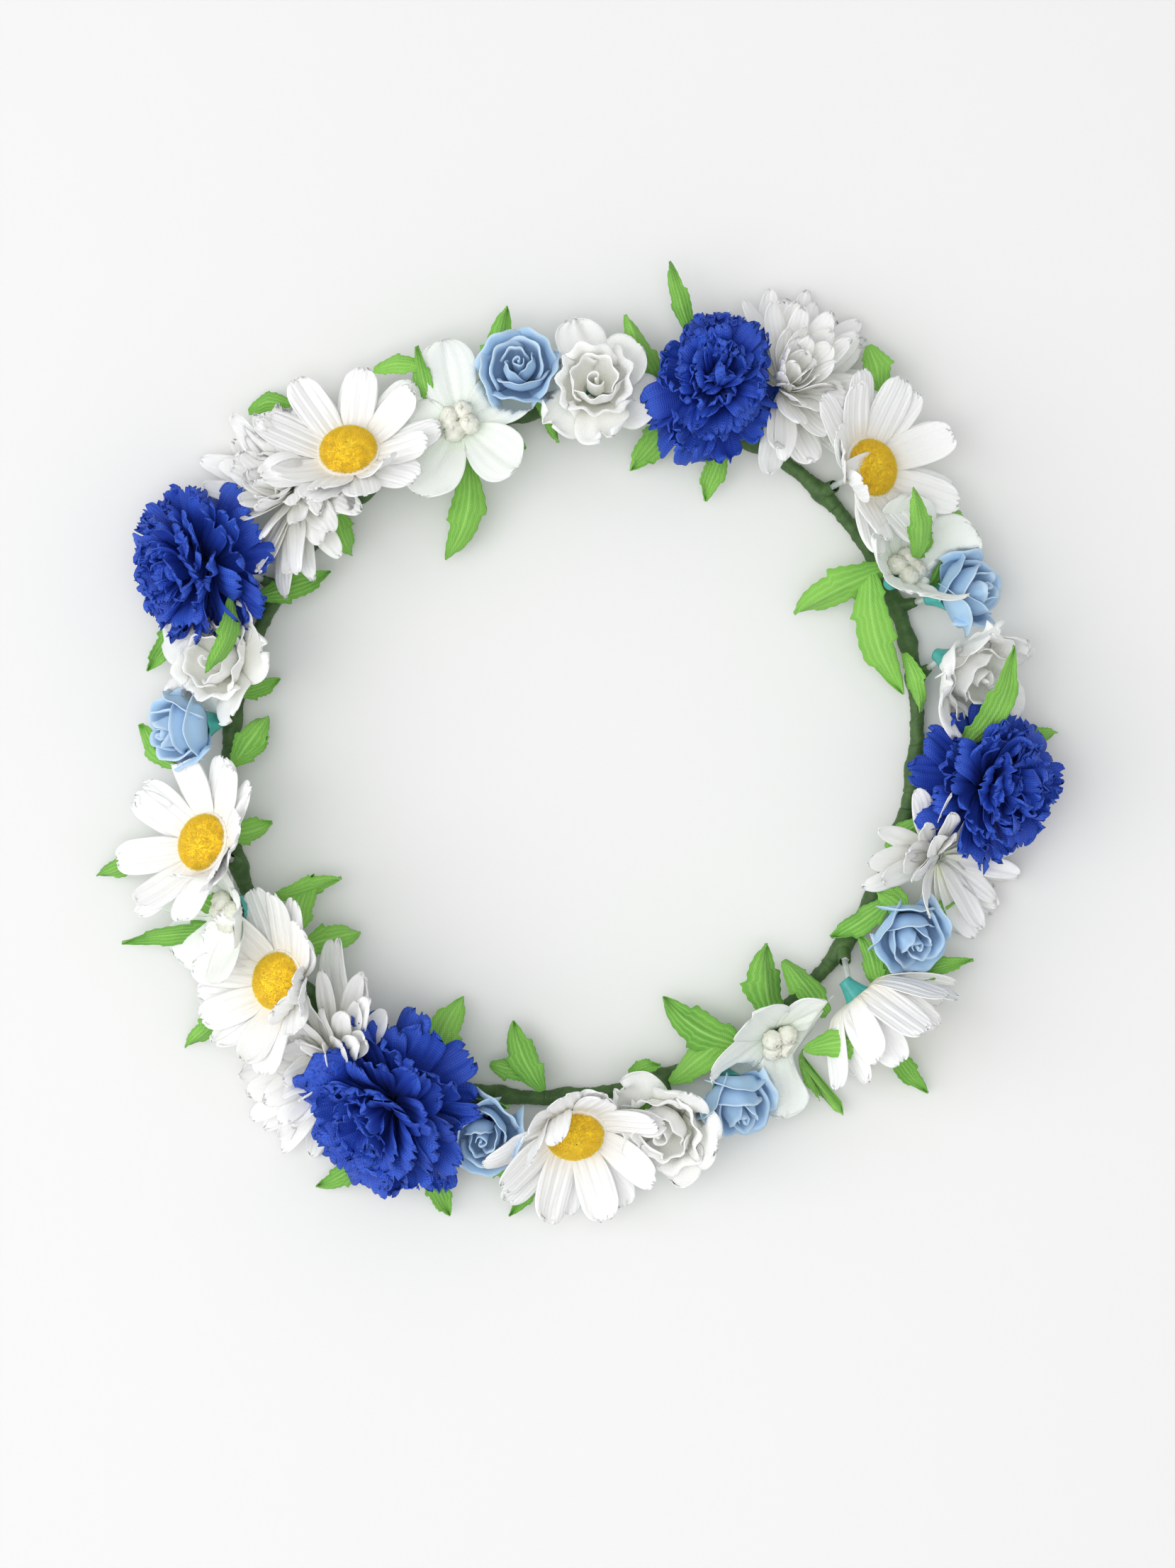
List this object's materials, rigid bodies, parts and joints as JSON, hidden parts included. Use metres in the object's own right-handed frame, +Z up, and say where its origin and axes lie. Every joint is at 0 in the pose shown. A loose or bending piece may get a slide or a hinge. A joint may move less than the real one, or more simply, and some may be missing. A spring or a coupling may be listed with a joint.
{
  "type": "flower crown",
  "caption": "Flower crown: a green-taped wire hoop covered all round with cloth daisies, roses, mums, cornflowers, blossoms and leaves on short plastic stems.",
  "frame": {"origin": "middle of the hoop, on the plane of the table that the crown lies on", "axes": "+Z up out of the side the flowers face, the way the crown is seen when it lies flat; +X and +Y across the hoop, whose long diameter lies 47 degrees from +X"},
  "size_m": [0.2271, 0.2274, 0.0329],
  "materials": {
    "steel_wire": "drawn wire, hidden under the tape",
    "floral_tape": "waxed crepe tape, matt with stretched wrinkles",
    "clear_stem": "clear moulded plastic",
    "teal_calyx": "translucent moulded plastic",
    "white_petal": "pressed white cloth with fine ribs, tinted peach at the root",
    "yellow_flock": "matt flock",
    "blue_cloth": "woven royal blue cloth with frayed edges",
    "cream_cloth": "soft cream cloth, greenish at the heart",
    "mint_cloth": "thin open-woven pale mint cloth",
    "cream_pip": "grainy moulded pips",
    "sky_cloth": "matt sky-blue cloth, paler at the edges",
    "ivory_cloth": "soft ivory cloth, greenish in the rolls",
    "leaf_cloth": "printed and veined green leaf cloth"
  },
  "bodies": {
    "crown": {"hoop_wire": "steel_wire", "hoop_tape": "floral_tape", "tape_overlap": "floral_tape", "stem_bindings": "floral_tape", "flower_stems": "clear_stem", "head_calyxes": "teal_calyx", "cornflower_1": "blue_cloth", "cornflower_2": "blue_cloth", "cornflower_3": "blue_cloth", "cornflower_4": "blue_cloth", "mum_1": "cream_cloth", "mum_2": "cream_cloth", "mum_3": "cream_cloth", "mum_4": "cream_cloth", "blossom_1": "mint_cloth", "blossom_2": "mint_cloth", "blossom_3": "mint_cloth", "blossom_4": "mint_cloth", "blossom_pips": "cream_pip", "blue_rose_1": "sky_cloth", "blue_rose_2": "sky_cloth", "blue_rose_3": "sky_cloth", "blue_rose_4": "sky_cloth", "blue_rose_5": "sky_cloth", "blue_rose_6": "sky_cloth", "white_rose_1": "ivory_cloth", "white_rose_2": "ivory_cloth", "white_rose_3": "ivory_cloth", "white_rose_4": "ivory_cloth", "white_rose_buds": "ivory_cloth", "cornflower_leaves": "leaf_cloth", "mum_leaves": "leaf_cloth", "blossom_leaves": "leaf_cloth", "white_rose_leaves": "leaf_cloth", "blue_rose_sepals": "leaf_cloth"},
    "daisy_head_1": {"daisy_stem_1": "clear_stem", "daisy_calyx_1": "teal_calyx", "daisy_petals_1": "white_petal", "daisy_eye_1": "yellow_flock"},
    "daisy_head_2": {"daisy_stem_2": "clear_stem", "daisy_calyx_2": "teal_calyx", "daisy_petals_2": "white_petal", "daisy_eye_2": "yellow_flock"},
    "daisy_head_3": {"daisy_stem_3": "clear_stem", "daisy_calyx_3": "teal_calyx", "daisy_petals_3": "white_petal", "daisy_eye_3": "yellow_flock"},
    "daisy_head_4": {"daisy_stem_4": "clear_stem", "daisy_calyx_4": "teal_calyx", "daisy_petals_4": "white_petal", "daisy_eye_4": "yellow_flock"},
    "daisy_head_5": {"daisy_stem_5": "clear_stem", "daisy_calyx_5": "teal_calyx", "daisy_petals_5": "white_petal", "daisy_eye_5": "yellow_flock"},
    "daisy_head_6": {"daisy_stem_6": "clear_stem", "daisy_calyx_6": "teal_calyx", "daisy_petals_6": "white_petal", "daisy_eye_6": "yellow_flock"}
  },
  "joints": [
    {"name": "daisy_1_nod", "type": "hinge", "parent": "crown", "child": "daisy_head_1", "pos_m": [0.06734, 0.06851, 0.00659], "axis": [-0.7177, 0.6964, 0], "range_deg": [-12, 12], "stiffness_Nm_per_rad": 0.03},
    {"name": "daisy_2_nod", "type": "hinge", "parent": "crown", "child": "daisy_head_2", "pos_m": [0.07073, -0.05404, 0.00634], "axis": [0.5992, 0.8006, 0], "range_deg": [-14, 6], "stiffness_Nm_per_rad": 0.03},
    {"name": "daisy_3_nod", "type": "hinge", "parent": "crown", "child": "daisy_head_3", "pos_m": [-0.00097, -0.09238, 0.00685], "axis": [0.9976, 0.0688, 0], "range_deg": [-12, 12], "stiffness_Nm_per_rad": 0.03},
    {"name": "daisy_4_nod", "type": "hinge", "parent": "crown", "child": "daisy_head_4", "pos_m": [-0.06988, -0.06256, 0.00698], "axis": [0.6749, -0.7379, 0], "range_deg": [-12, 12], "stiffness_Nm_per_rad": 0.03},
    {"name": "daisy_5_nod", "type": "hinge", "parent": "crown", "child": "daisy_head_5", "pos_m": [-0.08864, -0.02838, 0.00682], "axis": [0.2633, -0.9647, 0], "range_deg": [-12, 12], "stiffness_Nm_per_rad": 0.03},
    {"name": "daisy_6_nod", "type": "hinge", "parent": "crown", "child": "daisy_head_6", "pos_m": [-0.05547, 0.06978, 0.00679], "axis": [-0.7669, -0.6418, 0], "range_deg": [-12, 12], "stiffness_Nm_per_rad": 0.03}
  ]
}
